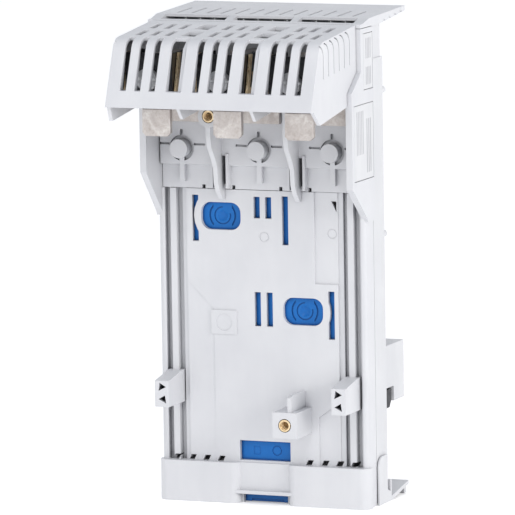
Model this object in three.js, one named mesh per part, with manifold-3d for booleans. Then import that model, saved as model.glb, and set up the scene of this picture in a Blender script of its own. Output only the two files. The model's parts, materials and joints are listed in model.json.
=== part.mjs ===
// Three-pole busbar adapter: the carrier that hooks onto three flat busbars and holds a
// circuit breaker in front of them. Millimetres, +Z up, front towards -Y.
// The origin is the centre of the base, on the plane that the part stands on.
import * as THREE from 'three';
import { mergeVertices } from 'three/addons/utils/BufferGeometryUtils.js';
import Module from 'manifold-3d';

const wasm = await Module();
wasm.setup();

// ---- driving dimensions -------------------------------------------------------------
const POLE_PITCH = 35;                 // one breaker pole
const POLES = [-POLE_PITCH, 0, POLE_PITCH];
const BUSBAR_PITCH = 60;               // height between two busbars
const GAP = 0.3;                       // air between neighbouring pieces
const FULL_WIDTH = 3 * POLE_PITCH;     // 105: the frame size of the breaker
const WING_X = FULL_WIDTH / 2;         // outer face of the upper side walls
const WALL_X = 51.4;                   // outer face of the lower side walls
const TOP_Z = 227.8;                   // rear edge of the roof plate, its highest point
const ROOF_Z = 222.6;                  // underside of the roof plate where it rests on the walls
const SEAM_Y = -6.3;                  // rear edge of the hood, where it meets the side walls
const SEAM_HIGH_Z = 202.5;             // above this the seam is upright at SEAM_Y
const SEAM_LOW_Z = 193.8;              // below this it is upright at WING_Y
const SHOULDER_Z = 207;                // where the head of the rear housing starts

// front to rear, in depth order
const HOOD_FRONT_Y = -62.8;
const TONGUE_Y = -39.5;                // front plane of the connection tongues
const WING_Y = -18.3;                  // front edge of the upper side walls
const POST_Y = -19;                    // front of the fixing posts
const BLOCK_Y = -18;                   // front of the rail blocks
const POCKET_Y = -3.8;                 // front of the foot pockets
const PLATE_T = 2.2;                   // the plate lies between y = 0 and this
const CARRIER_REAR_Y = 9.5;            // rear edge of the front carrier
const HOUSING_REAR_Y = 23.5;           // rear face of the rear housing
const HOUSING_PLATE_T = 2.2;
const SHOE_REAR_Y = 55.2;              // rear face of the busbar shoes
const ROOF_REAR_Y = 50.5;
const FLANGE_REAR_Y = 47.4;

// the whole part is shifted so that its bounding box is centred on the origin
const CENTRE_SHIFT_Y = -(HOOD_FRONT_Y + SHOE_REAR_Y) / 2;

const LIGHT_GREY = 0xdcdce0;
const MID_GREY = 0xcfd0d4;
const BLUE = 0x1d6fb8;
const BRASS = 0xc9a24a;
const TINNED = 0xb9b1a6;
const STEEL = 0xa9abad;
const DARK_STEEL = 0x3a3a3d;
const LABEL_WHITE = 0xeeeeec;

// ---- solids -------------------------------------------------------------------------
function solid(geometry) {
  const bare = geometry.index ? geometry.toNonIndexed() : geometry;
  bare.deleteAttribute('normal');
  bare.deleteAttribute('uv');
  const merged = mergeVertices(bare, 1e-4);
  return new wasm.Manifold(new wasm.Mesh({
    numProp: 3,
    vertProperties: new Float32Array(merged.attributes.position.array),
    triVerts: new Uint32Array(merged.index.array),
  }));
}

// a box given by its low and high limits on each axis
function box([x0, x1], [y0, y1], [z0, z1]) {
  const geometry = new THREE.BoxGeometry(x1 - x0, y1 - y0, z1 - z0);
  geometry.translate((x0 + x1) / 2, (y0 + y1) / 2, (z0 + z1) / 2);
  return solid(geometry);
}

function outline(points) {
  return Array.isArray(points) ? new THREE.Shape(points.map(([u, v]) => new THREE.Vector2(u, v))) : points;
}

function extrude(points, depth, arcSteps = 3) {
  return new THREE.ExtrudeGeometry(outline(points), { depth, bevelEnabled: false, curveSegments: arcSteps });
}

// an outline in (y, z), drawn out from x0 to x1
function prismX(points, x0, x1, arcSteps) {
  const geometry = extrude(points, x1 - x0, arcSteps);
  geometry.applyMatrix4(new THREE.Matrix4().set(0, 0, 1, x0, 1, 0, 0, 0, 0, 1, 0, 0, 0, 0, 0, 1));
  return solid(geometry);
}

// an outline in (x, z), drawn out from y0 to y1
function prismY(points, y0, y1, arcSteps) {
  const geometry = extrude(points, y1 - y0, arcSteps);
  geometry.applyMatrix4(new THREE.Matrix4().set(1, 0, 0, 0, 0, 0, -1, y1, 0, 1, 0, 0, 0, 0, 0, 1));
  return solid(geometry);
}

// an outline in (x, y), drawn out from z0 to z1
function prismZ(points, z0, z1, arcSteps) {
  const geometry = extrude(points, z1 - z0, arcSteps);
  geometry.translate(0, 0, z0);
  return solid(geometry);
}

// a round rod along Y
function rodY(x, z, radius, y0, y1, sides = 24) {
  const geometry = new THREE.CylinderGeometry(radius, radius, y1 - y0, sides);
  geometry.translate(x, (y0 + y1) / 2, z);
  return solid(geometry);
}

function join(first, ...rest) {
  return rest.reduce((sum, piece) => sum.add(piece), first);
}

function cut(base, ...tools) {
  return tools.reduce((left, tool) => left.subtract(tool), base);
}

// a rectangle with round corners, centred on (u, v)
function roundRect(u, v, width, height, radius) {
  const [left, right, low, high] = [u - width / 2, u + width / 2, v - height / 2, v + height / 2];
  const shape = new THREE.Shape();
  shape.moveTo(left + radius, low);
  shape.lineTo(right - radius, low);
  shape.absarc(right - radius, low + radius, radius, -Math.PI / 2, 0);
  shape.lineTo(right, high - radius);
  shape.absarc(right - radius, high - radius, radius, 0, Math.PI / 2);
  shape.lineTo(left + radius, high);
  shape.absarc(left + radius, high - radius, radius, Math.PI / 2, Math.PI);
  shape.lineTo(left, low + radius);
  shape.absarc(left + radius, low + radius, radius, Math.PI, 1.5 * Math.PI);
  return shape;
}

// the same points with x turned round, in the order that keeps the outline's sense
function mirrored(points) {
  return points.map(([u, v]) => [-u, v]).reverse();
}

const model = new THREE.Group();
model.position.y = CENTRE_SHIFT_Y;

function addNode(name, manifold, color, roughness, metalness = 0) {
  const { vertProperties, triVerts } = manifold.getMesh();
  const geometry = new THREE.BufferGeometry();
  geometry.setAttribute('position', new THREE.BufferAttribute(new Float32Array(vertProperties), 3));
  geometry.setIndex(new THREE.BufferAttribute(new Uint32Array(triVerts), 1));
  const mesh = new THREE.Mesh(geometry, new THREE.MeshStandardMaterial({ color, roughness, metalness }));
  mesh.name = name;
  model.add(mesh);
}

// ---- layout shared by the carrier and the blue locks --------------------------------
const FIELD_Z = [19, 146];             // the part of the plate that the breaker covers
const PAD_SIZE = [19.7, 12.8, 4.8];    // width, height, corner radius
const PADS = { upper: [-20.3, 133.5], lower: [19.9, 90.4] };
const SLOT_W = 3.1;
const UPPER_SLOTS = [[-33, 121.5, 143], [-2.4, 133, 143], [3.3, 133, 143], [11.6, 121, 143.6]];
const LOWER_SLOTS = [[-2.6, 82.8, 98.7], [3.3, 82.8, 98.7], [33.9, 78, 100.3]];
const PAD_RIM_R = 13.4;                // the round rim that bites into the slot beside a pad
const LATCH_WINDOW = [[-12.6, 12.6], [20, 29.2]];
const FOOT_GAP_TOP = 4.6;              // the blue latch shows below this
const POCKET_INNER_X = 11.7;           // half the gap between the two foot pockets
const POCKET_OUTER_X = 52.4;
const POCKET_TOP_Z = 19;
const DRAIN_X = [22, 29.4, 36.6, 44.2];  // slanted drain slots above each pocket
const FIELD_STEP = 0.9;                // depth of the shallow fields in the plate
const LOWER_POST = [17.5, 40.2];       // x and z of the two fixing posts
const UPPER_POST = [-17.5, 182];
const INSERT_R = 3.1;

// ---- front carrier ------------------------------------------------------------------
// Half of the level cross-section of the long body: plate, step, two channels, outer wall.
function carrierSection() {
  const channelY = 3.6;
  const right = [
    [0, 0], [37.4, 0], [37.4, 1.4], [39.8, 1.4], [39.8, channelY], [42.4, channelY], [42.4, -0.3],
    [45.4, -0.3], [45.4, channelY], [48.3, channelY], [48.3, 0.2], [49.1, -0.4], [50.2, -0.3],
    [51.1, 0.5], [WALL_X, 1.8], [WALL_X, CARRIER_REAR_Y], [37.9, CARRIER_REAR_Y], [37.9, PLATE_T], [0, PLATE_T],
  ];
  return [...right, ...mirrored(right).slice(1, -1)];
}

// The upper side wall: it swings forward from the plate to the wing front.
function wing(side) {
  const kneeZ = side > 0 ? 150 : 155;
  const profile = [
    [CARRIER_REAR_Y, 133], [0.4, 133], [-0.2, 134.6], [WING_Y, kneeZ], [WING_Y, SEAM_LOW_Z], [SEAM_Y, SEAM_HIGH_Z],
    [SEAM_Y, ROOF_Z - GAP], [CARRIER_REAR_Y, ROOF_Z - GAP],
  ];
  const [inner, outer] = [side * 49.4, side * WING_X];
  return prismX(profile, Math.min(inner, outer), Math.max(inner, outer));
}

// One foot pocket: a box with round front corners, open below.
function pocket(side) {
  const wall = 1.8;
  const [low, high] = side > 0 ? [POCKET_INNER_X, POCKET_OUTER_X] : [-POCKET_OUTER_X, -POCKET_INNER_X];
  const rearY = PLATE_T;
  const cornerR = 4.6;
  const depth = rearY - POCKET_Y;
  const outer = new THREE.Shape();
  outer.moveTo(low, rearY);
  outer.lineTo(low, POCKET_Y + cornerR);
  outer.absarc(low + cornerR, POCKET_Y + cornerR, cornerR, Math.PI, 1.5 * Math.PI);
  outer.lineTo(high - cornerR, POCKET_Y);
  outer.absarc(high - cornerR, POCKET_Y + cornerR, cornerR, -Math.PI / 2, 0);
  outer.lineTo(high, rearY);
  const body = prismZ(outer, 0, POCKET_TOP_Z, 4);
  return cut(body, box([low + 3, high - 3], [POCKET_Y + wall, POCKET_Y + depth - wall], [-1, POCKET_TOP_Z - 3]));
}

// A slanted drain slot through the plate, on the pocket's top.
function drainSlot(x) {
  const [low, high] = [POCKET_TOP_Z, POCKET_TOP_Z + 2.4];
  return prismY([[x - 1.9, low], [x + 0.9, low], [x + 2.1, high], [x - 0.7, high]], -2, 9);
}

// A rail block: sloped on top, with two three-sided holes through its front.
function railBlock(side) {
  const [low, high] = [46, 59.4];
  const profile = [[8, low], [BLOCK_Y, low], [BLOCK_Y, high - 1.2], [-2, high + 1.6], [8, high + 1.6]];
  const [inner, outer] = [side * 40.3, side * 47.3];
  let block = prismX(profile, Math.min(inner, outer), Math.max(inner, outer));
  for (const [z, point] of [[55.4, 1], [49.6, -1]]) {
    const x = 43.6 * side;
    const reach = 1.9;
    const triangle = [[x - reach * point, z - reach], [x + reach * point, z], [x - reach * 0.7 * point, z + reach]];
    block = cut(block, prismY(triangle, BLOCK_Y - 1, BLOCK_Y + 16));
  }
  return block;
}

// The lower fixing post with the thin rib that stands on it.
function lowerPost() {
  const [x, z] = LOWER_POST;
  const half = 6;
  return join(
    box([x - half, x + half], [POST_Y, 1], [z - half, z + half]),
    prismX([[1, z + half - 1], [POST_Y + 1.2, z + half - 1], [POST_Y + 1.2, z + half + 6.6],
      [POST_Y + 3, z + half + 7.6], [1, z + half + 7.6]], x + 1, x + 3),
  );
}

function slotTool([x, low, high], depth = [-1, PLATE_T + 1]) {
  return box([x - SLOT_W / 2, x + SLOT_W / 2], depth, [low, high]);
}

function frontCarrier() {
  let body = prismZ(carrierSection(), 0.0, ROOF_Z - GAP);
  // above the field the plate opens into the terminal bay, and the channels end
  body = cut(
    body,
    box([-49.1, 49.1], [-2, 20], [FIELD_Z[1], TOP_Z]),
  );
  body = join(body, wing(-1), wing(1), pocket(-1), pocket(1));
  body = join(body, box([-POCKET_INNER_X - 3, POCKET_INNER_X + 3], [-1.2, 1], [FOOT_GAP_TOP, POCKET_TOP_Z]));
  body = join(body, box([-POCKET_INNER_X - 3, POCKET_INNER_X + 3], [-3.2, 1], [FOOT_GAP_TOP, FOOT_GAP_TOP + 1.6]));
  body = join(body, railBlock(-1), railBlock(1), lowerPost());
  // two shallow fields where the plate is thinner, and one raised square
  body = cut(
    body,
    prismY([[26, 103.5], [37.4, 103.5], [37.4, 147], [26, 147]], -1, FIELD_STEP),
    prismY([[27, POCKET_TOP_Z], [37.4, POCKET_TOP_Z], [37.4, 47], [34.4, 47], [27, 41.5]], -1, FIELD_STEP),
    prismY([[-37.4, POCKET_TOP_Z], [-24.4, POCKET_TOP_Z], [-24.4, 90], [-37.4, 103]], -1, FIELD_STEP / 3),
  );
  body = join(body, cut(box([-25.6, -13], [-0.6, 1], [78.6, 89.8]), rodY(-19.3, 84.2, 4, -1, -0.2)));
  for (const [x, z] of [[1.2, 124.5], [34.5, 127]]) {
    body = cut(body, cut(rodY(x, z, 2.4, -1, 0.3 + (x > 26 ? FIELD_STEP : 0)), rodY(x, z, 1.9, -2, 5)));
  }
  for (const [x, z] of Object.values(PADS)) {
    body = cut(body, prismY(roundRect(x, z, ...PAD_SIZE), -1, PLATE_T + 1));
  }
  for (const slot of [...UPPER_SLOTS, ...LOWER_SLOTS]) {
    body = cut(body, cut(slotTool(slot), ...Object.values(PADS).map(([x, z]) => rodY(x, z, PAD_RIM_R, -3, 6))));
  }
  const [windowX, windowZ] = LATCH_WINDOW;
  body = cut(body, box(windowX, [-3, PLATE_T + 1], windowZ));
  // the foot gap, where the latch shows
  body = cut(body, box([-11, 11], [-3, PLATE_T + 1], [-1, FOOT_GAP_TOP]));
  for (const x of DRAIN_X) body = cut(body, drainSlot(x), drainSlot(-x));
  body = cut(body, prismY([[34.2, 142], [36.7, 137], [36.7, 142]], -1, PLATE_T + 1));
  body = cut(body, rodY(...LOWER_POST, INSERT_R + 0.05, POST_Y - 1, POST_Y + 9, 20));
  // seats for the two side labels
  for (const label of Object.values(LABELS)) {
    body = cut(body, box([WING_X - 0.7, WING_X + 1], label.y, label.z));
  }
  // holes for the housing screws, from behind
  for (const [x, z] of HOUSING_SCREWS) {
    body = cut(body, rodY(x, z, 1.5, 3, CARRIER_REAR_Y + 1, 16));
  }
  return body;
}

const LABELS = {
  label_upper: { y: [-3, 8.6], z: [194, 220] },
  label_lower: { y: [-15.6, 8.6], z: [153, 188] },
};
const LABEL_CLEAR = 0.3;

function sideLabel({ y, z }) {
  return box([WING_X - 0.4, WING_X], [y[0] + LABEL_CLEAR, y[1] - LABEL_CLEAR], [z[0] + LABEL_CLEAR, z[1] - LABEL_CLEAR]);
}

// ---- terminal block: the three chambers under the hood -------------------------------
const BLOCK_Z = [FIELD_Z[1] + GAP, 206.6];
const CHAMBER_Y = -3;                  // front of the chamber floors
const BOSS_Z = 165;
const PARTITION_X = 19;                // middle of the two walls between chambers
const BOSSES = [-38, 0.4, 36.6];
const EDGE_NOTCHES = [-28.3, -13.5, 9.9, 24.3];   // small notches in the block's lower edge

function chamberFloor() {
  const [low, high] = BLOCK_Z;
  const back = 2;
  const profile = [
    [back, low], [-0.4, low], [-0.4, 157], [CHAMBER_Y, 157.6], [CHAMBER_Y, high], [CHAMBER_Y + 2.2, high],
    [CHAMBER_Y + 2.2, 160], [back, 158],
  ];
  return prismX(profile, -49.1 + GAP, 49.1 - GAP);
}

function partition(x) {
  const profile = [
    [1, 197.6], [-17, 197.6], [-17, 173], [-15.6, 167], [-11.4, 161.5], [-9, 157], [-8.4, 150], [-6.5, 146],
    [-2.4, 141.6], [-GAP, 141.6], [-GAP, BLOCK_Z[0] + 0.2], [1, BLOCK_Z[0] + 0.2],
  ];
  return join(
    prismX(profile, x - 1.1, x + 1.1),
    box([x - 4.4, x - 3.2], [-4.2, 0], [147, 163]),
    box([x + 3.2, x + 4.4], [-4.2, 0], [147, 163]),
  );
}

// the deep slots on both sides of a wall between chambers
function partitionSlots(x) {
  return [-1, 1].map((side) => box([x + side * 2.15 - 1.05, x + side * 2.15 + 1.05], [-9, 1.4], [148.5, 162]));
}

function terminalBlock() {
  let body = chamberFloor();
  for (const x of [-PARTITION_X, PARTITION_X]) {
    body = join(body, partition(x));
    body = cut(body, ...partitionSlots(x));
  }
  for (const x of BOSSES) {
    body = join(body, rodY(x, BOSS_Z, 7.6, CHAMBER_Y + 1, 4.2));
    const bossRing = rodY(x, BOSS_Z, 6, CHAMBER_Y - 4, CHAMBER_Y + 1.5);
    const upperSlit = box([x - 0.7, x + 0.7], [-4, CHAMBER_Y + 1.5], [BOSS_Z + 4, 173.6]);
    body = cut(body, bossRing, upperSlit);
    body = join(body, rodY(x, BOSS_Z, 4.4, -7.2, 3.2));
    body = join(body, box([x - 1.2, x + 1.2], [CHAMBER_Y, 0], [149.5, BOSS_Z - 3]));
    for (const side of [-1, 1]) {
      const start = x + side * 6;
      const end = x + side * 11.5;
      body = cut(body, box([Math.min(start, end), Math.max(start, end)], [-4, CHAMBER_Y + 1.2], [166.4, 167.4]));
    }
  }
  for (const x of EDGE_NOTCHES) body = cut(body, box([x - 0.8, x + 0.8], [-2, 6], [BLOCK_Z[0] - 1, 148]));
  // the upper fixing post stands on the left partition
  const [postX, postZ] = UPPER_POST;
  body = join(body, rodY(postX, postZ, 5.2, POST_Y - 0.8, CHAMBER_Y + 1));
  body = cut(body, rodY(postX, postZ, INSERT_R + 0.05, POST_Y - 2, POST_Y + 9, 20));
  return body;
}

function fixingInsert([x, z], frontY) {
  const length = 8;
  return cut(
    rodY(x, z, INSERT_R - 0.25, frontY, frontY + length, 20),
    rodY(x, z, 2.05, frontY - 1, frontY + length - 1, 20),
  );
}

// ---- hood over the terminals ---------------------------------------------------------
const HOOD_X = 50.3;
const HOOD_WALL = 1.8;
const HOOD_LOW_Z = 190;
const HOOD_BACK_Y = SEAM_Y - GAP;
const HOOD_EDGE_Z = 220.6;             // top of the rounded front edge
const HOOD_REAR_Z = 224.2;             // the top rises towards the rear
const SLOT_FINE = 3;                   // three of these on each pole
const SLOT_WIDE = 7.5;                 // one of these between two poles

const TOP_ROWS = [-41.5, -25.2];       // front ends of the two rows of slots in the top
const TOP_SLOT_LENGTH = 11.5;

// side outline of the hood, inset by the wall thickness for its inside
function hoodProfile(inset) {
  const frontLow = HOOD_FRONT_Y + inset;
  const shape = new THREE.Shape();
  const radius = 5 - inset;
  const frontHigh = -52 + inset;
  const edgeZ = HOOD_EDGE_Z - inset;
  const backZ = HOOD_REAR_Z - inset;
  shape.moveTo(frontLow, HOOD_LOW_Z - (inset ? 10 : 0));
  shape.lineTo(frontHigh - 0.6, edgeZ - radius);
  shape.quadraticCurveTo(frontHigh + 0.8, edgeZ - 0.4, frontHigh + radius + 1, edgeZ);
  shape.lineTo(HOOD_BACK_Y + (inset ? 5 : 0), backZ);
  if (inset) {
    shape.lineTo(HOOD_BACK_Y + 5, HOOD_LOW_Z - 10);
    return shape;
  }
  shape.lineTo(HOOD_BACK_Y, SEAM_HIGH_Z);
  shape.lineTo(WING_Y - GAP, SEAM_LOW_Z);
  shape.lineTo(WING_Y - GAP, HOOD_LOW_Z);
  return shape;
}

// each side wall hangs below the front edge in a point
function hoodSkirt(side) {
  const tipY = side > 0 ? -51.5 : -58;
  const rearY = WING_Y - GAP;
  const [inner, outer] = [side * (HOOD_X - HOOD_WALL), side * HOOD_X];
  return prismX([
    [HOOD_FRONT_Y + 2, HOOD_LOW_Z + 1], [tipY, 183.2], [rearY, 187.9], [rearY, HOOD_LOW_Z + 1],
  ], Math.min(inner, outer), Math.max(inner, outer));
}

function hoodSlots() {
  const tools = [];
  const xs = [];
  for (const pole of POLES) {
    for (const step of [-1, 0, 1]) xs.push([pole * 35.5 / POLE_PITCH + step * 7.1, SLOT_FINE]);
  }
  for (const x of [-17.8, 17.8]) xs.push([x, SLOT_WIDE]);
  for (const [x, width] of xs) {
    const span = [x - width / 2, x + width / 2];
    tools.push(prismX([[-70, 197.4], [-54, 197.4], [-45.5, 214], [-45.5, 230], [-70, 230]], ...span));
    for (const rowY of TOP_ROWS) tools.push(box(span, [rowY, rowY + TOP_SLOT_LENGTH], [214, 230]));
  }
  return tools;
}

const GROOVE_Z = [203.6, 213.4];       // straight part of the foremost side groove

// a thin groove that runs up the hood's side and bends forward at the top
function sideGroove(side, y, lift) {
  const width = 0.6;
  const points = [];
  const bendR = 6;
  const steps = 5;
  for (let i = 0; i <= steps; i += 1) {
    const angle = (i / steps) * Math.PI / 2;
    points.push([y - bendR + bendR * Math.cos(angle), GROOVE_Z[1] + lift + bendR * Math.sin(angle)]);
  }
  const inner = points.map(([py, pz], i) => {
    const angle = (i / steps) * Math.PI / 2;
    return [py - width * Math.cos(angle), pz - width * Math.sin(angle)];
  }).reverse();
  const low = GROOVE_Z[0] + lift;
  const profile = [[y, low], ...points, ...inner, [y - width, low]];
  const [inside, outside] = [side * (HOOD_X - 1), side * (HOOD_X + 1)];
  return prismX(profile, Math.min(inside, outside), Math.max(inside, outside));
}

function hood() {
  let body = prismX(hoodProfile(0), -HOOD_X, HOOD_X, 4);
  const inner = prismX(hoodProfile(HOOD_WALL), -HOOD_X + HOOD_WALL, HOOD_X - HOOD_WALL, 4);
  body = cut(body, inner);
  body = join(body, hoodSkirt(-1), hoodSkirt(1));
  body = cut(body, ...hoodSlots());
  // inner walls between the poles, seen through the wide slots
  for (const x of [-17.8, 17.8]) {
    const wall = prismX([
      [HOOD_FRONT_Y + 3, HOOD_LOW_Z], [-55, 184.6], [-22, 188.4], [-22, 194], [-14, 202],
      [-14, 222.6], [-45.5, 219.6], [-50.2, 216],
    ], x + 1.2, x + 2.8);
    body = join(body, wall);
  }
  for (const side of [-1, 1]) {
    for (let i = 0; i < 6; i += 1) body = cut(body, sideGroove(side, -46.5 + i * 6.5, i * 0.6));
  }
  return body;
}

// ---- current path --------------------------------------------------------------------
const TONGUE_W = 13.8;
const CONTACT_FACE_Z = 187;            // below this the tongue is coined 0.4 mm thicker
const COINED = 0.4;
const TONGUE_T = 2.8;
const TONGUE_LOW_Z = 174.6;
const SHELF_Z = [208.2, 211];
const RUN_Y = [6.6, 8.6];              // the flat bar that drops behind the plate
const RUN_W = 12;
const RUN_X = [-31, 0, 31];            // the outer runs stand closer in, inside the carrier
const SHOE_Z = POLES.map((pole, i) => 56.5 + BUSBAR_PITCH * (2 - i));
const CLAMP_Z = 201.6;                 // height of the clamp screw
const CAGE_Y = [-47, -29];             // clamp cage, front to rear
const CAGE_Z = [195.5, 213.5];
const CAGE_T = 1.4;
const STRAP_T = 1.4;
const STRAP_Y = TONGUE_Y + TONGUE_T + GAP;
const STRAP_Z = [196, 205];
const NUT_Y = [STRAP_Y + STRAP_T + GAP, CAGE_Y[1] - CAGE_T - GAP];
const LEG_DROP = 5;                    // the leg into a shoe lies this far above the shoe's middle

function conductor(index) {
  const x = POLES[index];
  const half = TONGUE_W / 2;
  const chamfer = 1.6;
  const tongue = prismY([
    [x - half + chamfer, TONGUE_LOW_Z], [x + half - chamfer, TONGUE_LOW_Z], [x + half, TONGUE_LOW_Z + chamfer],
    [x + half, SHELF_Z[1]], [x - half, SHELF_Z[1]], [x - half, TONGUE_LOW_Z + chamfer],
  ], TONGUE_Y, TONGUE_Y + TONGUE_T);
  const thinner = box([x - 9, x + 9], [TONGUE_Y - 1, TONGUE_Y + COINED], [CONTACT_FACE_Z, SHELF_Z[1] + 1]);
  const legZ = SHOE_Z[index] + LEG_DROP;
  const wide = 11.9;
  const runX = [RUN_X[index] - RUN_W / 2, RUN_X[index] + RUN_W / 2];
  const body = join(
    cut(tongue, thinner),
    box([x - half, x + half], [TONGUE_Y + COINED, -3.6], SHELF_Z),
    box([x - wide, x + wide], [-5.8, CHAMBER_Y - GAP], [177.6, SHELF_Z[1]]),
    box(runX, [-5.8, RUN_Y[1]], SHELF_Z),
    box(runX, RUN_Y, [legZ, SHELF_Z[1]]),
    box(runX, [RUN_Y[0], HOUSING_REAR_Y + 15], [legZ, legZ + 2.4]),
  );
  return cut(body, rodY(x, CLAMP_Z, 3.1, TONGUE_Y - 1, TONGUE_Y + TONGUE_T + 1, 20));
}

// steel cage round the tongue, open above and below, which holds the clamp together
function terminalCage(index) {
  const x = POLES[index];
  const half = 11.6;
  const [low, high] = CAGE_Z;
  const [frontY, rearY] = CAGE_Y;
  const frame = cut(
    box([x - half, x + half], [frontY, rearY], [low, high]),
    box([x - half + CAGE_T, x + half - CAGE_T], [frontY + CAGE_T, rearY - CAGE_T], [low - 1, high + 1]),
  );
  return cut(
    frame,
    box([x - 9, x + 9], [rearY - CAGE_T - 1, rearY + 1], [SHELF_Z[0] - GAP, high + 1]),
    box([x - 20, x + 20], [STRAP_Y - GAP, STRAP_Y + STRAP_T + GAP], [low - 1, STRAP_Z[1] + GAP]),
    rodY(x, CLAMP_Z, 3.1, frontY - 1, frontY + CAGE_T + 1, 20),
  );
}

// brass strap behind the tongue, with a leaning spring leg on each side of the cage
function clampStrap(index) {
  const x = POLES[index];
  const [legIn, legOut] = [11.9, 12.9];
  const rearY = STRAP_Y + STRAP_T;
  const tipY = CAGE_Y[0] + 0.5;
  const leg = [
    [tipY, CAGE_Z[0]], [rearY, CAGE_Z[0]], [rearY, STRAP_Z[0] + 2.4], [tipY + 3.6, STRAP_Z[0] + 2.4],
    [tipY + 7.6, CAGE_Z[1]], [tipY + 4.8, CAGE_Z[1]],
  ];
  return cut(
    join(
      box([x - legOut, x + legOut], [STRAP_Y, rearY], STRAP_Z),
      prismX(leg, x + legIn, x + legOut),
      prismX(leg, x - legOut, x - legIn),
    ),
    rodY(x, CLAMP_Z, 3.1, STRAP_Y - 1, rearY + 1, 20),
  );
}

function terminalScrew(index) {
  const x = POLES[index];
  const headY = CAGE_Y[0] - GAP;
  const head = rodY(x, CLAMP_Z, 5, headY - 3.2, headY, 28);
  const shank = rodY(x, CLAMP_Z, 2.6, headY - 1, NUT_Y[1] - 0.6, 16);
  return cut(join(head, shank), box([x - 6, x + 6], [headY - 4, headY - 1.7], [CLAMP_Z - 0.6, CLAMP_Z + 0.6]));
}

function terminalNut(index) {
  const x = POLES[index];
  const half = 4.6;
  return cut(
    box([x - half, x + half], NUT_Y, [CLAMP_Z - half, CLAMP_Z + half]),
    rodY(x, CLAMP_Z, 2.9, NUT_Y[0] - 1, NUT_Y[1] + 1, 16),
  );
}

// ---- rear housing, roof and foot flange ----------------------------------------------
const HOUSING_X = WALL_X;
const HOUSING_SCREWS = [[-44, 30], [44, 30], [-44, 120], [44, 120]];
const LEG_WINDOW = [RUN_W / 2 + 1, 4.5];
const ROOF_SLOT_Y = [-2.2, 4];         // the three long slots near the roof's front edge
const ROOF_SLOT_X = [[-47.5, -15.8], [-12, 16.4], [19.8, 47.5]];
const ROOF_EDGE_Z = 226.2;             // top of the roof just behind the slots
const PANEL_Z = [20, 81, 141];         // middle heights of the rows of shallow back panels
const PANEL_DEPTH = 0.7;
const KNOB_Z = [124.4, 191.2];

function rearHousing() {
  const [frontY, rearY] = [CARRIER_REAR_Y + GAP, HOUSING_REAR_Y];
  const plateY = rearY - HOUSING_PLATE_T;
  const side = 2.2;
  let body = box([-HOUSING_X, HOUSING_X], [frontY, rearY], [1, SHOULDER_Z]);
  body = cut(body, box([-HOUSING_X + side, HOUSING_X - side], [frontY - 1, plateY], [3.2, SHOULDER_Z + 1]));
  // narrower head up to the roof plate
  const headX = HOUSING_X - 0.6;
  const head = cut(
    box([-headX, headX], [frontY, rearY - 1.4], [SHOULDER_Z - 2, ROOF_Z - GAP]),
    box([-headX + side, headX - side], [frontY - 1, plateY], [SHOULDER_Z - 3, ROOF_Z - 2.4]),
  );
  body = join(body, head);
  // the back is flat where the busbars lie against it; shallow panels lighten it in between
  for (const x of [-34, 0, 34]) {
    for (const z of PANEL_Z) {
      body = cut(body, prismY(roundRect(x, z, 31, 24, 2), rearY - PANEL_DEPTH, rearY + 1));
    }
  }
  RUN_X.forEach((x, i) => {
    const z = SHOE_Z[i] + LEG_DROP + 1.2;
    const [halfX, halfZ] = LEG_WINDOW;
    body = cut(body, box([x - halfX, x + halfX], [frontY - 1, rearY + 8], [z - halfZ, z + halfZ]));
  });
  // two locating knobs on the rear edge, and the screw posts
  for (const z of KNOB_Z) body = join(body, rodY(HOUSING_X - 2, z, 1.6, rearY - 1, rearY + 4.6, 12));
  for (const [x, z] of HOUSING_SCREWS) {
    body = join(body, rodY(x, z, 4, frontY, rearY - 1, 20));
    body = cut(body, rodY(x, z, 1.9, frontY - 1, rearY + 6, 16), rodY(x, z, 3.4, rearY - 2.2, rearY + 6, 20));
  }
  return body;
}

function housingScrew([x, z]) {
  const headY = HOUSING_REAR_Y - 2.2 + GAP;
  const head = rodY(x, z, 2.9, headY, headY + 1.8, 16);
  const shank = rodY(x, z, 1.3, CARRIER_REAR_Y - 5, headY + 0.5, 12);
  const cross = [
    box([x - 1.8, x + 1.8], [headY + 0.8, headY + 3], [z - 0.35, z + 0.35]),
    box([x - 0.35, x + 0.35], [headY + 0.8, headY + 3], [z - 1.8, z + 1.8]),
  ];
  return cut(join(head, shank), ...cross);
}

function roofPlate() {
  const frontZ = 224.4;
  const risingY = 20;
  let body = prismX([
    [SEAM_Y, ROOF_Z], [risingY, ROOF_Z], [ROOF_REAR_Y, TOP_Z - 2.4], [ROOF_REAR_Y, TOP_Z],
    [ROOF_SLOT_Y[1], ROOF_EDGE_Z], [ROOF_SLOT_Y[0], frontZ + 0.2], [SEAM_Y, frontZ],
  ], -WING_X, WING_X);
  for (const span of ROOF_SLOT_X) body = cut(body, box(span, ROOF_SLOT_Y, [ROOF_Z - 1, TOP_Z + 1]));
  // the roof is thin behind the slots, over the open terminal bay
  body = cut(body, box([-47.5, 47.5], [ROOF_SLOT_Y[1] - 0.01, 18], [ROOF_Z - 1, ROOF_EDGE_Z - 1.2]));
  for (let i = -6; i <= 6; i += 1) {
    const x = i * 7.2 - 0.7;
    body = cut(body, box([x - 0.6, x + 0.6], [9, 27], [ROOF_Z - 1, TOP_Z + 1]));
  }
  // small notches along both lower side edges of the overhang
  for (const side of [-1, 1]) {
    for (let i = 0; i < 4; i += 1) {
      const y = 23 + i * 7;
      const under = ROOF_Z + (y - risingY) * 0.09;
      body = cut(body, box([side * WING_X - 0.8, side * WING_X + 0.8], [y, y + 2.2], [ROOF_Z - 1, under + 1.2]));
    }
  }
  return body;
}

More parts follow.
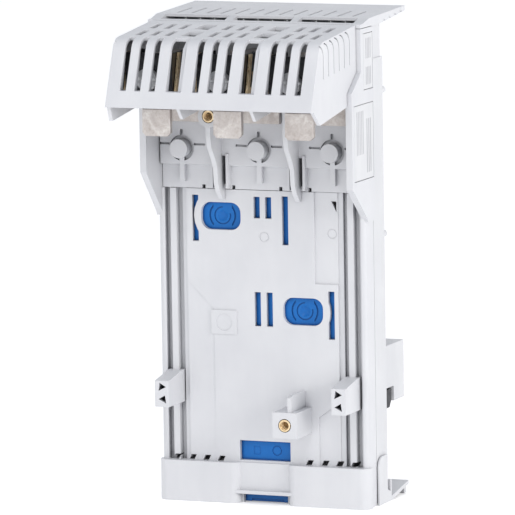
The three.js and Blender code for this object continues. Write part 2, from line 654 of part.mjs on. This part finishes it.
function footFlange() {
  const cheekIn = HOUSING_X + GAP;
  const cheekOut = cheekIn + 1;
  const cheek = new THREE.Shape();
  cheek.moveTo(9.6, 0);
  cheek.lineTo(HOUSING_REAR_Y + 1.8, 0);
  cheek.lineTo(HOUSING_REAR_Y + 1.8, 4);
  cheek.lineTo(20.4, 6);
  cheek.lineTo(20.4, 22.4);
  cheek.lineTo(14.6, 22.4);
  cheek.absarc(14.6, 17.4, 5, Math.PI / 2, Math.PI);
  const plate = prismX([
    [HOUSING_REAR_Y + GAP, 0], [HOUSING_REAR_Y + 3, 0], [FLANGE_REAR_Y, 4.4], [FLANGE_REAR_Y, 6], [HOUSING_REAR_Y + GAP, 1.8],
  ], -cheekOut, cheekOut);
  let body = join(plate, prismX(cheek, cheekIn, cheekOut, 4), prismX(cheek, -cheekOut, -cheekIn, 4));
  body = join(body, box([-cheekOut, cheekOut], [HOUSING_REAR_Y + GAP, HOUSING_REAR_Y + 1.8], [0, 10]));
  for (const x of [-50, -25, 0, 25, 50]) {
    body = join(body, prismX([[30, 0], [34, 0], [FLANGE_REAR_Y - 1, 4.6], [30, 2.4]], x - 1.5, x + 1.5));
    body = join(body, box([x - 1.5, x + 1.5], [FLANGE_REAR_Y - 3, FLANGE_REAR_Y - 0.4], [0, 5]));
  }
  return body;
}

// ---- busbar shoes --------------------------------------------------------------------
const SHOE_LOW = 12.5;                 // how far a shoe reaches below its reference height
const SHOE_HIGH = 14.5;                // and above it
const SHOE_HALF_X = 13;
const BUSBAR_Y = [HOUSING_REAR_Y + 0.6, HOUSING_REAR_Y + 7.2];   // room for a busbar 5 mm thick
const NOTCH_REAR_Y = 42;
const NOTCH_TOP = 5.5;                 // the open notch at the foot of a shoe ends this far below

function busbarShoe(index) {
  const x = POLES[index];
  const z = SHOE_Z[index];
  const [low, high] = [z - SHOE_LOW, z + SHOE_HIGH];
  const frontY = HOUSING_REAR_Y + GAP;
  const runX = RUN_X[index];
  return cut(
    box([x - SHOE_HALF_X, x + SHOE_HALF_X], [frontY, SHOE_REAR_Y], [low, high]),
    box([x - 20, x + 20], [frontY - 1, BUSBAR_Y[1]], [low - 1, z + 2]),
    box([runX - RUN_W / 2 - 0.6, runX + RUN_W / 2 + 0.6], [frontY - 1, NOTCH_REAR_Y], [z - 20, high - 5]),
    box([x - 20, x + 20], [BUSBAR_Y[1] - 1, NOTCH_REAR_Y], [low - 1, z - NOTCH_TOP]),
  );
}

function contactFinger(index) {
  const x = RUN_X[index];
  const z = SHOE_Z[index];
  const half = RUN_W / 2 - 0.4;
  const y = BUSBAR_Y[1] + 0.5;
  return prismX([
    [y + 0.6, z + LEG_DROP - GAP], [y + 0.6, z - 6], [y - 0.9, z - 9], [y + 0.1, z - 11.4], [y + 1.3, z - 11.4],
    [y + 0.4, z - 9], [y + 2, z - 6], [y + 2, z + LEG_DROP - GAP],
  ], x - half, x + half);
}

// wide spring body at the foot of a shoe, with a narrow tongue up behind the contact finger
function contactSpring(index) {
  const x = POLES[index];
  const z = SHOE_Z[index];
  const wide = SHOE_HALF_X - 0.6;
  const [frontY, rearY] = [BUSBAR_Y[1] + 3, NOTCH_REAR_Y - 2];
  const runX = RUN_X[index];
  return join(
    prismX([
      [frontY, z - 15], [frontY + 4, z - 15], [rearY, z - 11.5], [rearY, z - NOTCH_TOP - 1], [frontY, z - NOTCH_TOP - 1],
    ], x - wide, x + wide),
    box([runX - 3, runX + 3], [frontY, frontY + 1], [z - NOTCH_TOP - 2, z + 3]),
  );
}

// ---- blue locks behind the plate -----------------------------------------------------
const LOCK_Y = [PLATE_T + GAP, PLATE_T + GAP + 2.2];

// the marks cut into a slide behind its window: a round dimple, a ring and two arcs
function padMarks([x, z]) {
  const y = LOCK_Y[0];
  const dimple = new THREE.SphereGeometry(4, 20, 14);
  dimple.translate(x, y - 3, z);
  const ring = (inner, outer, depth) => cut(rodY(x, z, outer, y - 1, y + depth, 28), rodY(x, z, inner, y - 2, y + 2, 28));
  const arcs = cut(ring(5.9, 6.7, 0.5), box([x - 4.6, x + 4.6], [y - 3, y + 3], [z - 9, z + 9]));
  const ringGap = box([x, x + 9], [y - 3, y + 3], [z + 1, z + 9]);
  return [solid(dimple), cut(ring(3.6, 4.2, 0.4), ringGap), arcs];
}

function lockSlide(pad, spanX, spanZ) {
  return cut(box(spanX, LOCK_Y, spanZ), ...padMarks(pad));
}

function footLatch() {
  const frontY = LOCK_Y[0];
  return cut(
    box([-13.5, 13.5], LOCK_Y, [0.4, 33]),
    box([-8, 8], [frontY - 1, frontY + 0.7], [-1, 1.8]),
    cut(rodY(5, 24.6, 2.4, frontY - 1, frontY + 0.25), rodY(5, 24.6, 1.9, frontY - 2, frontY + 1)),
    prismY(roundRect(-5, 24.4, 3.4, 4, 0.8), frontY - 1, frontY + 0.25),
  );
}

// ---- assembly ------------------------------------------------------------------------
addNode('front_carrier', frontCarrier(), LIGHT_GREY, 0.5);
addNode('terminal_block', terminalBlock(), LIGHT_GREY, 0.5);
addNode('hood', hood(), LIGHT_GREY, 0.45);
addNode('rear_housing', rearHousing(), MID_GREY, 0.5);
addNode('roof_plate', roofPlate(), LIGHT_GREY, 0.5);
addNode('foot_flange', footFlange(), MID_GREY, 0.5);
addNode('upper_lock', lockSlide(PADS.upper, [-36.5, 15], [117, 145]), BLUE, 0.4);
addNode('lower_lock', lockSlide(PADS.lower, [-7, 36.5], [73, 101]), BLUE, 0.4);
addNode('foot_latch', footLatch(), BLUE, 0.4);
addNode('fixing_insert_upper', fixingInsert(UPPER_POST, POST_Y - 1), BRASS, 0.3, 1);
addNode('fixing_insert_lower', fixingInsert(LOWER_POST, POST_Y - 0.2), BRASS, 0.3, 1);
POLES.forEach((pole, i) => {
  const number = i + 1;
  addNode(`conductor_${number}`, conductor(i), TINNED, 0.45, 1);
  addNode(`terminal_cage_${number}`, terminalCage(i), DARK_STEEL, 0.4, 1);
  addNode(`clamp_strap_${number}`, clampStrap(i), BRASS, 0.3, 1);
  addNode(`terminal_screw_${number}`, terminalScrew(i), STEEL, 0.3, 1);
  addNode(`terminal_nut_${number}`, terminalNut(i), BRASS, 0.3, 1);
  addNode(`busbar_shoe_${number}`, busbarShoe(i), MID_GREY, 0.5);
  addNode(`contact_finger_${number}`, contactFinger(i), TINNED, 0.4, 1);
  addNode(`contact_spring_${number}`, contactSpring(i), DARK_STEEL, 0.4, 1);
});
HOUSING_SCREWS.forEach((place, i) => addNode(`housing_screw_${i + 1}`, housingScrew(place), STEEL, 0.3, 1));
for (const [name, label] of Object.entries(LABELS)) addNode(name, sideLabel(label), LABEL_WHITE, 0.6);

export default model;
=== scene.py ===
"""Looks of the three-pole busbar adapter: finishes for its CAD pieces, moulded and printed
details that ride on them, a plain studio floor, soft lights and the main camera. Metres."""
import json
import math

import bmesh
import bpy
from mathutils import Matrix, Vector


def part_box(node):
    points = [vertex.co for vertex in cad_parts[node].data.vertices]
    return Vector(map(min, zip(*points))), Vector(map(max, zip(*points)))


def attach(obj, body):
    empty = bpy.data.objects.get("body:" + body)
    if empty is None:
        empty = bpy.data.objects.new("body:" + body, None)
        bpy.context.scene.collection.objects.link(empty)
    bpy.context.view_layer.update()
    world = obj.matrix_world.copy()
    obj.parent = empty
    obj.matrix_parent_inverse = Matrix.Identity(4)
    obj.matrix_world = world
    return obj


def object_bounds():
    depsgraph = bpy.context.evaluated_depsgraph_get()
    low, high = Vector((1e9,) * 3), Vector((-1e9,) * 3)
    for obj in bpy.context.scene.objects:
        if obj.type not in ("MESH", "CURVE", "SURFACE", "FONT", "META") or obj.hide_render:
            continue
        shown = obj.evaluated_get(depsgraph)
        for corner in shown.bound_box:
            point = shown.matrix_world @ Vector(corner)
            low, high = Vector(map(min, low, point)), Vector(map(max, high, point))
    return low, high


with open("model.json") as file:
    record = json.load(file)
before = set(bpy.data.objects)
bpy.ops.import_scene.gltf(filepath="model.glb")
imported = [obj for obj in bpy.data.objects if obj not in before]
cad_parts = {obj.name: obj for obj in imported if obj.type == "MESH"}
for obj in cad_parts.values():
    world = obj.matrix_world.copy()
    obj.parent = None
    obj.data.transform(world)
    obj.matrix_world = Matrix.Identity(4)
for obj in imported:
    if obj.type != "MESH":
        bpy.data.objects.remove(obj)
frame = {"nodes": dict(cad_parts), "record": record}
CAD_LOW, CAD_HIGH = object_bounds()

MM = 0.001
NODES = frame["nodes"]


# ---- node helpers ------------------------------------------------------------------
class Shader:
    """A small wrapper that adds nodes to a material and links them by socket name."""

    def __init__(self, name):
        self.material = bpy.data.materials.new(name)
        self.material.use_nodes = True
        self.nodes = self.material.node_tree.nodes
        self.links = self.material.node_tree.links
        self.surface = self.nodes["Principled BSDF"]
        self.place = self.nodes.new("ShaderNodeTexCoord").outputs["Object"]

    def set(self, **values):
        for label, value in values.items():
            self.surface.inputs[label.replace("_", " ")].default_value = value
        return self

    def stretched(self, scale):
        mapping = self.nodes.new("ShaderNodeMapping")
        mapping.inputs["Scale"].default_value = scale
        self.links.new(self.place, mapping.inputs["Vector"])
        return mapping.outputs["Vector"]

    def noise(self, scale, detail=2.0, roughness=0.5, stretch=None, distortion=0.0):
        node = self.nodes.new("ShaderNodeTexNoise")
        node.inputs["Scale"].default_value = scale
        node.inputs["Detail"].default_value = detail
        node.inputs["Roughness"].default_value = roughness
        node.inputs["Distortion"].default_value = distortion
        source = self.stretched(stretch) if stretch else self.place
        self.links.new(source, node.inputs["Vector"])
        return node.outputs["Fac"]

    def ramp(self, value, stops):
        node = self.nodes.new("ShaderNodeValToRGB")
        elements = node.color_ramp.elements
        for index, (position, color) in enumerate(stops):
            element = elements[index] if index < 2 else elements.new(position)
            element.position = position
            element.color = (*color, 1) if len(color) == 3 else color
        self.links.new(value, node.inputs["Fac"])
        return node.outputs["Color"]

    def spread(self, value, low, high, start=0.3, end=0.7):
        node = self.nodes.new("ShaderNodeMapRange")
        limits = {"From Min": start, "From Max": end, "To Min": low, "To Max": high}
        for label, number in limits.items():
            node.inputs[label].default_value = number
        self.links.new(value, node.inputs["Value"])
        return node.outputs["Result"]

    def mix(self, factor, first, second, kind="MIX"):
        node = self.nodes.new("ShaderNodeMix")
        node.data_type = "RGBA"
        node.blend_type = kind
        for label, value in (("Factor", factor), ("A", first), ("B", second)):
            self.feed(node.inputs[label], value)
        return node.outputs["Result"]

    def math(self, kind, first, second):
        node = self.nodes.new("ShaderNodeMath")
        node.operation = kind
        self.feed(node.inputs[0], first)
        self.feed(node.inputs[1], second)
        return node.outputs["Value"]

    def feed(self, socket, value):
        if isinstance(value, bpy.types.NodeSocket):
            self.links.new(value, socket)
        elif isinstance(value, tuple):
            socket.default_value = (*value, 1) if len(value) == 3 else value
        else:
            socket.default_value = value

    def color(self, value):
        self.links.new(value, self.surface.inputs["Base Color"])
        return self

    def roughness(self, value):
        self.links.new(value, self.surface.inputs["Roughness"])
        return self

    def bump(self, *layers):
        """layers are (height, strength, distance in metres), from broad to fine"""
        last = None
        for height, strength, distance in layers:
            node = self.nodes.new("ShaderNodeBump")
            node.inputs["Strength"].default_value = strength
            node.inputs["Distance"].default_value = distance
            self.links.new(height, node.inputs["Height"])
            if last is not None:
                self.links.new(last, node.inputs["Normal"])
            last = node.outputs["Normal"]
        self.links.new(last, self.surface.inputs["Normal"])
        return self

    def painted_shade_mask(self, shade_reach):
        """1 in the open, falling to 0 deep inside slots and holes: the mask for painted shade"""
        node = self.nodes.new("ShaderNodeAmbientOcclusion")
        node.samples = 6
        node.inputs["Distance"].default_value = shade_reach
        return node.outputs["AO"]

    def edges(self, radius):
        """0 on flat faces, rising to 1 on sharp edges and in corners"""
        bevel = self.nodes.new("ShaderNodeBevel")
        bevel.samples = 4
        bevel.inputs["Radius"].default_value = radius
        geometry = self.nodes.new("ShaderNodeNewGeometry")
        dot = self.nodes.new("ShaderNodeVectorMath")
        dot.operation = "DOT_PRODUCT"
        self.links.new(bevel.outputs["Normal"], dot.inputs[0])
        self.links.new(geometry.outputs["Normal"], dot.inputs[1])
        return self.math("SUBTRACT", 1.0, dot.outputs["Value"])


# ---- finishes ----------------------------------------------------------------------
# Painted shade: ramps over ambient occlusion that darken the plastics' colour in corners, slots, holes and
# channels; the *_REACH distances set how far the occlusion looks
GREY_PAINTED_SHADE = [(0.03, (0.30, 0.305, 0.32)), (0.22, (0.95, 0.953, 0.96)), (0.45, (1, 1, 1))]
# painted shade deep inside the hood and other large hollows, from the long-reach occlusion
DEEP_PAINTED_SHADE = [(0.02, (0.42, 0.425, 0.44)), (0.34, (1, 1, 1))]
# painted shade for the blue slides: darkens their shallow marks and recesses
BLUE_PAINTED_SHADE = [(0.10, (0.28, 0.36, 0.46)), (0.82, (0.66, 0.73, 0.80)), (0.98, (1, 1, 1))]
GREY_SHADE_REACH = 6 * MM
BLUE_SHADE_REACH = 1.3 * MM                  # short, so that painted shade darkens the shallow marks in the slides
DEEP_SHADE_REACH = 35 * MM
EDGE_WEAR_WIDTH = 0.4 * MM


def moulded_plastic(name, low, high, roughness, grain=0.12, edge_tint=(0.78, 0.78, 0.79),
                    painted_shade_tints=GREY_PAINTED_SHADE, shade_reach=GREY_SHADE_REACH, gloss=0.42):
    """Moulded plastic: slow tint drift, flow streaks, spark-eroded grain, rubbed edges, painted shade in
    corners, slots and holes.
    """
    s = Shader(name)
    drift = s.noise(38, 3, 0.55)
    streaks = s.noise(60, 4, 0.6, stretch=(1.0, 1.0, 0.16), distortion=0.4)
    tint = s.mix(s.spread(drift, 0, 1), low, high)
    streak_tint = s.ramp(streaks, [(0.35, (0.955, 0.957, 0.962)), (0.68, (1, 1, 1))])
    fine = s.noise(3400, 2, 0.6)
    scuffs = s.noise(260, 6, 0.72, stretch=(1, 1, 0.3))
    moulded = s.mix(1.0, tint, streak_tint, "MULTIPLY")
    on_edges = s.spread(s.edges(EDGE_WEAR_WIDTH), 0, 0.45, 0.02, 0.35)
    rubbed = s.math("MULTIPLY", on_edges, s.spread(scuffs, 0.3, 1))
    worn = s.mix(rubbed, moulded, edge_tint)
    # painted shade: the colour is darkened in small corners, slots and holes by the short-reach occlusion
    # mask
    with_painted_shade = s.mix(1.0, worn, s.ramp(s.painted_shade_mask(shade_reach), painted_shade_tints), "MULTIPLY")
    # painted shade from the long-reach occlusion, darkening deep inside the hood and large hollows
    s.color(s.mix(1.0, with_painted_shade, s.ramp(s.painted_shade_mask(DEEP_SHADE_REACH), DEEP_PAINTED_SHADE), "MULTIPLY"))
    patches = s.spread(scuffs, roughness - 0.06, roughness + 0.09)
    s.roughness(s.math("ADD", patches, s.spread(fine, -0.03, 0.03)))
    s.bump((s.noise(95, 2, 0.5), 0.10, 0.0006), (scuffs, 0.05, 0.0002), (fine, grain, 0.00012))
    s.set(IOR=1.5)
    s.surface.inputs["Specular IOR Level"].default_value = gloss
    return s.material


def tinned_copper(name):
    """Tin plate: warm grey with cloudy blotches and faint vertical drawing marks."""
    s = Shader(name)
    clouds = s.noise(130, 5, 0.6, distortion=0.8)
    spots = s.noise(900, 3, 0.6, distortion=0.4)
    marks = s.noise(900, 3, 0.5, stretch=(1, 1, 0.07))
    tints = [(0.30, (0.50, 0.455, 0.43)), (0.50, (0.62, 0.575, 0.55)), (0.70, (0.78, 0.75, 0.72))]
    base = s.ramp(clouds, tints)
    speck = s.ramp(spots, [(0.36, (0.84, 0.81, 0.78)), (0.55, (1, 1, 1))])
    s.color(s.mix(0.8, base, speck, "MULTIPLY"))
    s.roughness(s.spread(spots, 0.28, 0.56))
    s.bump((clouds, 0.25, 0.0002), (marks, 0.12, 0.0001), (spots, 0.12, 0.00008))
    s.set(Metallic=0.86)
    return s.material


def bright_metal(name, low, high, roughness, metallic=1.0, stretch=(1, 1, 0.1)):
    """Turned or rolled metal with fine tool marks and light tarnish."""
    s = Shader(name)
    tarnish = s.noise(420, 4, 0.6, distortion=0.3)
    marks = s.noise(2600, 2, 0.5, stretch=stretch)
    s.color(s.mix(s.spread(tarnish, 0, 1), low, high))
    s.roughness(s.spread(marks, roughness - 0.08, roughness + 0.12))
    s.bump((marks, 0.18, 0.00006))
    s.set(Metallic=metallic)
    return s.material


FINISHES = {
    "grey_plastic": moulded_plastic("light_grey_moulding", (0.635, 0.637, 0.66), (0.672, 0.674, 0.694), 0.44),
    "grey_plastic_rear": moulded_plastic(
        "rear_grey_moulding", (0.635, 0.637, 0.655), (0.672, 0.674, 0.69), 0.48),
    "blue_plastic": moulded_plastic(
        "blue_moulding", (0.004, 0.125, 0.43), (0.007, 0.155, 0.51), 0.36, 0.08, (0.02, 0.22, 0.58),
        BLUE_PAINTED_SHADE, BLUE_SHADE_REACH, 0.28),
    "brass": bright_metal("brass", (0.74, 0.53, 0.29), (0.97, 0.80, 0.54), 0.30, 0.8),
    "tinned_copper": tinned_copper("tin_plate"),
    "zinc_steel": bright_metal("zinc_plated_steel", (0.62, 0.62, 0.62), (0.82, 0.83, 0.85), 0.32, 0.7),
    "dark_steel": bright_metal("blackened_steel", (0.035, 0.035, 0.04), (0.08, 0.08, 0.085), 0.42, 0.9),
    "label": moulded_plastic("label_face", (0.65, 0.652, 0.668), (0.68, 0.682, 0.695), 0.52, 0.05),
}
PRINT = moulded_plastic("faint_grey_print", (0.42, 0.42, 0.44), (0.50, 0.50, 0.52), 0.6, 0.05)


# ---- finish of the CAD nodes ---------------------------------------------------------
EDGE_ROUND = {"blue_plastic": 0.00022, "brass": 0.00015, "zinc_steel": 0.00015, "dark_steel": 0.0001}
PLASTIC_ROUND = 0.00028
SHARP_ANGLE = math.radians(38)


def soften(obj, width):
    """Merges the facets' coplanar triangles and gives every sharp edge its small moulded radius."""
    weld = obj.modifiers.new("weld", "WELD")
    weld.merge_threshold = 2e-6
    flat = obj.modifiers.new("flat_faces", "DECIMATE")
    flat.decimate_type = "DISSOLVE"
    flat.angle_limit = math.radians(0.5)
    bevel = obj.modifiers.new("edge_radius", "BEVEL")
    bevel.width = width
    bevel.segments = 2
    bevel.limit_method = "ANGLE"
    bevel.angle_limit = SHARP_ANGLE
    bevel.harden_normals = False
    bevel.use_clamp_overlap = True
    smooth = obj.modifiers.new("even_normals", "WEIGHTED_NORMAL")
    smooth.keep_sharp = True
    obj.data.shade_smooth()


def finish_cad_nodes():
    slots = {entry["node"]: entry["material_slot"] for entry in frame["record"]["subparts"]}
    for name, obj in NODES.items():
        slot = slots[name]
        obj.data.materials.clear()
        obj.data.materials.append(FINISHES[slot])
        soften(obj, EDGE_ROUND.get(slot, PLASTIC_ROUND))


# ---- printed and cut details ---------------------------------------------------------
def mesh_object(name, bm, material):
    mesh = bpy.data.meshes.new(name)
    bm.normal_update()
    bm.to_mesh(mesh)
    bm.free()
    mesh.materials.append(material)
    obj = bpy.data.objects.new(name, mesh)
    bpy.context.scene.collection.objects.link(obj)
    return obj


def add_block(bm, low, high):
    spans = list(zip(low, high))
    corners = [bm.verts.new((x, y, z)) for x in spans[0] for y in spans[1] for z in spans[2]]
    for face in ((0, 1, 3, 2), (4, 6, 7, 5), (0, 4, 5, 1), (2, 3, 7, 6), (0, 2, 6, 4), (1, 5, 7, 3)):
        bm.faces.new([corners[i] for i in face])


PRINT_T = 0.04 * MM
BAR_SHARE = 0.5                        # bar width as a share of the bar spacing
# bars on each label face: shares of its depth, shares of its height, number of bars
SIDE_RULING = {
    "label_upper": (((0.2, 0.85), (0.08, 0.40), 4), ((0.2, 0.85), (0.55, 0.92), 4)),
    "label_lower": (((0.1, 0.5), (0.34, 0.92), 5), ((0.62, 0.9), (0.08, 0.80), 3)),
}


def bars_on_side(bm, x, y_range, z_range, count):
    """Plain even bars side by side along Y, the blank ruling of a data plate."""
    step = (y_range[1] - y_range[0]) / count
    for i in range(count):
        start = y_range[0] + step * (i + 0.2)
        add_block(bm, (x - PRINT_T, start, z_range[0]), (x + PRINT_T, start + step * BAR_SHARE, z_range[1]))


def make_side_marks():
    """Faint plain ruling on the two label faces of the right-hand side."""
    bm = bmesh.new()
    for name, blocks in SIDE_RULING.items():
        low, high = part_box(name)
        depth, rise = high[1] - low[1], high[2] - low[2]
        for (y0, y1), (z0, z1), count in blocks:
            y_range = (low[1] + y0 * depth, low[1] + y1 * depth)
            bars_on_side(bm, high[0], y_range, (low[2] + z0 * rise, low[2] + z1 * rise), count)
    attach(mesh_object("side_marks", bm, PRINT), "carrier")


def helix(bm, centre, radius, wire, pitch, turns, sides=28, ring=5):
    """A closed helical ridge round the Y axis, running towards +Y."""
    loops = []
    total = int(turns * sides)
    for i in range(total + 1):
        angle = 2 * math.pi * i / sides
        out = Vector((math.cos(angle), 0, math.sin(angle)))
        middle = Vector(centre) + out * radius + Vector((0, pitch * i / sides, 0))
        loop = []
        for k in range(ring):
            turn = 2 * math.pi * k / ring
            offset = out * wire * math.cos(turn) + Vector((0, wire * math.sin(turn), 0))
            loop.append(bm.verts.new(middle + offset))
        loops.append(loop)
    for a, b in zip(loops, loops[1:]):
        for k in range(ring):
            bm.faces.new((a[k], a[(k + 1) % ring], b[(k + 1) % ring], b[k]))
    bm.faces.new(list(reversed(loops[0])))
    bm.faces.new(loops[-1])


THREAD_RADIUS = 1.98 * MM
THREAD_WIRE = 0.2 * MM
THREAD_PITCH = 0.8 * MM
THREAD_TURNS = 7


def make_insert_threads():
    for name in ("fixing_insert_upper", "fixing_insert_lower"):
        low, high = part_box(name)
        centre = ((low[0] + high[0]) / 2, low[1] + 0.5 * MM, (low[2] + high[2]) / 2)
        bm = bmesh.new()
        helix(bm, centre, THREAD_RADIUS, THREAD_WIRE, THREAD_PITCH, THREAD_TURNS)
        thread = mesh_object(name.replace("fixing_insert", "insert_thread"), bm, FINISHES["brass"])
        thread.data.shade_smooth()
        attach(thread, "carrier")


def add_details():
    make_side_marks()
    make_insert_threads()


# ---- stage ---------------------------------------------------------------------------
WORLD_STRENGTH = 1.13
FLOOR_GLOW = 0.33                      # keeps the floor as white as the room's walls
FLOOR_HALF = 12.0
WALL_TOP, CEILING = 0.12, 0.95         # upward share of a direction where the dimming starts and ends
CEILING_TINT = (0.40, 0.43, 0.48, 1)
CAMERA_PLACE = (1.1241, -2.7482, 0.519)
CAMERA_YAW, CAMERA_PITCH, CAMERA_ROLL = 22.26, 7.74, -0.92      # degrees
CAMERA_LENS, CAMERA_SENSOR = 455.5, 36.0                        # millimetres


def make_floor():
    mesh = bpy.data.meshes.new("floor")
    half = FLOOR_HALF
    corners = [(-half, -half, 0), (half, -half, 0), (half, half, 0), (-half, half, 0)]
    mesh.from_pydata(corners, [], [(0, 1, 2, 3)])
    floor = bpy.data.objects.new("floor", mesh)
    bpy.context.scene.collection.objects.link(floor)
    s = Shader("pale_floor")
    s.color(s.ramp(s.noise(3, 2), [(0.3, (0.955, 0.955, 0.958)), (0.7, (0.97, 0.97, 0.972))]))
    s.set(Roughness=0.95, Emission_Color=(1, 0.985, 0.96, 1), Emission_Strength=FLOOR_GLOW)
    floor.data.materials.append(s.material)


def make_world():
    """An even white room whose ceiling is dimmer than its walls."""
    world = bpy.data.worlds.new("studio")
    world.use_nodes = True
    nodes, links = world.node_tree.nodes, world.node_tree.links
    direction = nodes.new("ShaderNodeTexCoord").outputs["Generated"]
    split = nodes.new("ShaderNodeSeparateXYZ")
    links.new(direction, split.inputs["Vector"])
    height = nodes.new("ShaderNodeMapRange")
    for label, number in (("From Min", WALL_TOP), ("From Max", CEILING), ("To Min", 0.0), ("To Max", 1.0)):
        height.inputs[label].default_value = number
    links.new(split.outputs["Z"], height.inputs["Value"])
    tint = nodes.new("ShaderNodeMix")
    tint.data_type = "RGBA"
    tint.inputs["A"].default_value = (1.0, 1.0, 1.0, 1)
    tint.inputs["B"].default_value = CEILING_TINT
    links.new(height.outputs["Result"], tint.inputs["Factor"])
    links.new(tint.outputs["Result"], nodes["Background"].inputs["Color"])
    nodes["Background"].inputs["Strength"].default_value = WORLD_STRENGTH
    bpy.context.scene.world = world


def area_light(name, place, target, size, watts, color=(1, 1, 1)):
    data = bpy.data.lights.new(name, "AREA")
    data.shape = "DISK"
    data.size = size
    data.energy = watts
    data.color = color
    lamp = bpy.data.objects.new(name, data)
    bpy.context.scene.collection.objects.link(lamp)
    lamp.location = place
    lamp.rotation_mode = "QUATERNION"
    lamp.rotation_quaternion = (Vector(target) - Vector(place)).to_track_quat("-Z", "Y")


def make_lights():
    middle = (CAD_LOW + CAD_HIGH) / 2
    area_light("key_right", (1.5, -0.5, 0.55), middle, 0.6, 7, (1.0, 0.985, 0.96))
    area_light("front_above", (0.15, -0.8, 0.85), middle, 0.5, 1.9, (0.99, 0.99, 1.0))


def make_camera():
    data = bpy.data.cameras.new("main_camera")
    data.sensor_width = CAMERA_SENSOR
    data.lens = CAMERA_LENS
    camera = bpy.data.objects.new("main_camera", data)
    bpy.context.scene.collection.objects.link(camera)
    yaw, pitch, roll = (math.radians(a) for a in (CAMERA_YAW, CAMERA_PITCH, CAMERA_ROLL))
    forward = Vector((-math.sin(yaw) * math.cos(pitch), math.cos(yaw) * math.cos(pitch), 0))
    forward.z = -math.sin(pitch)
    level = Vector((math.cos(yaw), math.sin(yaw), 0))
    up = level.cross(forward)
    right = level * math.cos(roll) + up * math.sin(roll)
    up = up * math.cos(roll) - level * math.sin(roll)
    camera.matrix_world = Matrix((right, up, -forward)).transposed().to_4x4()
    camera.location = CAMERA_PLACE
    bpy.context.scene.camera = camera


def make_stage():
    make_floor()
    make_world()
    make_lights()
    make_camera()
    bpy.context.scene.view_settings.view_transform = "Standard"


finish_cad_nodes()
add_details()
make_stage()
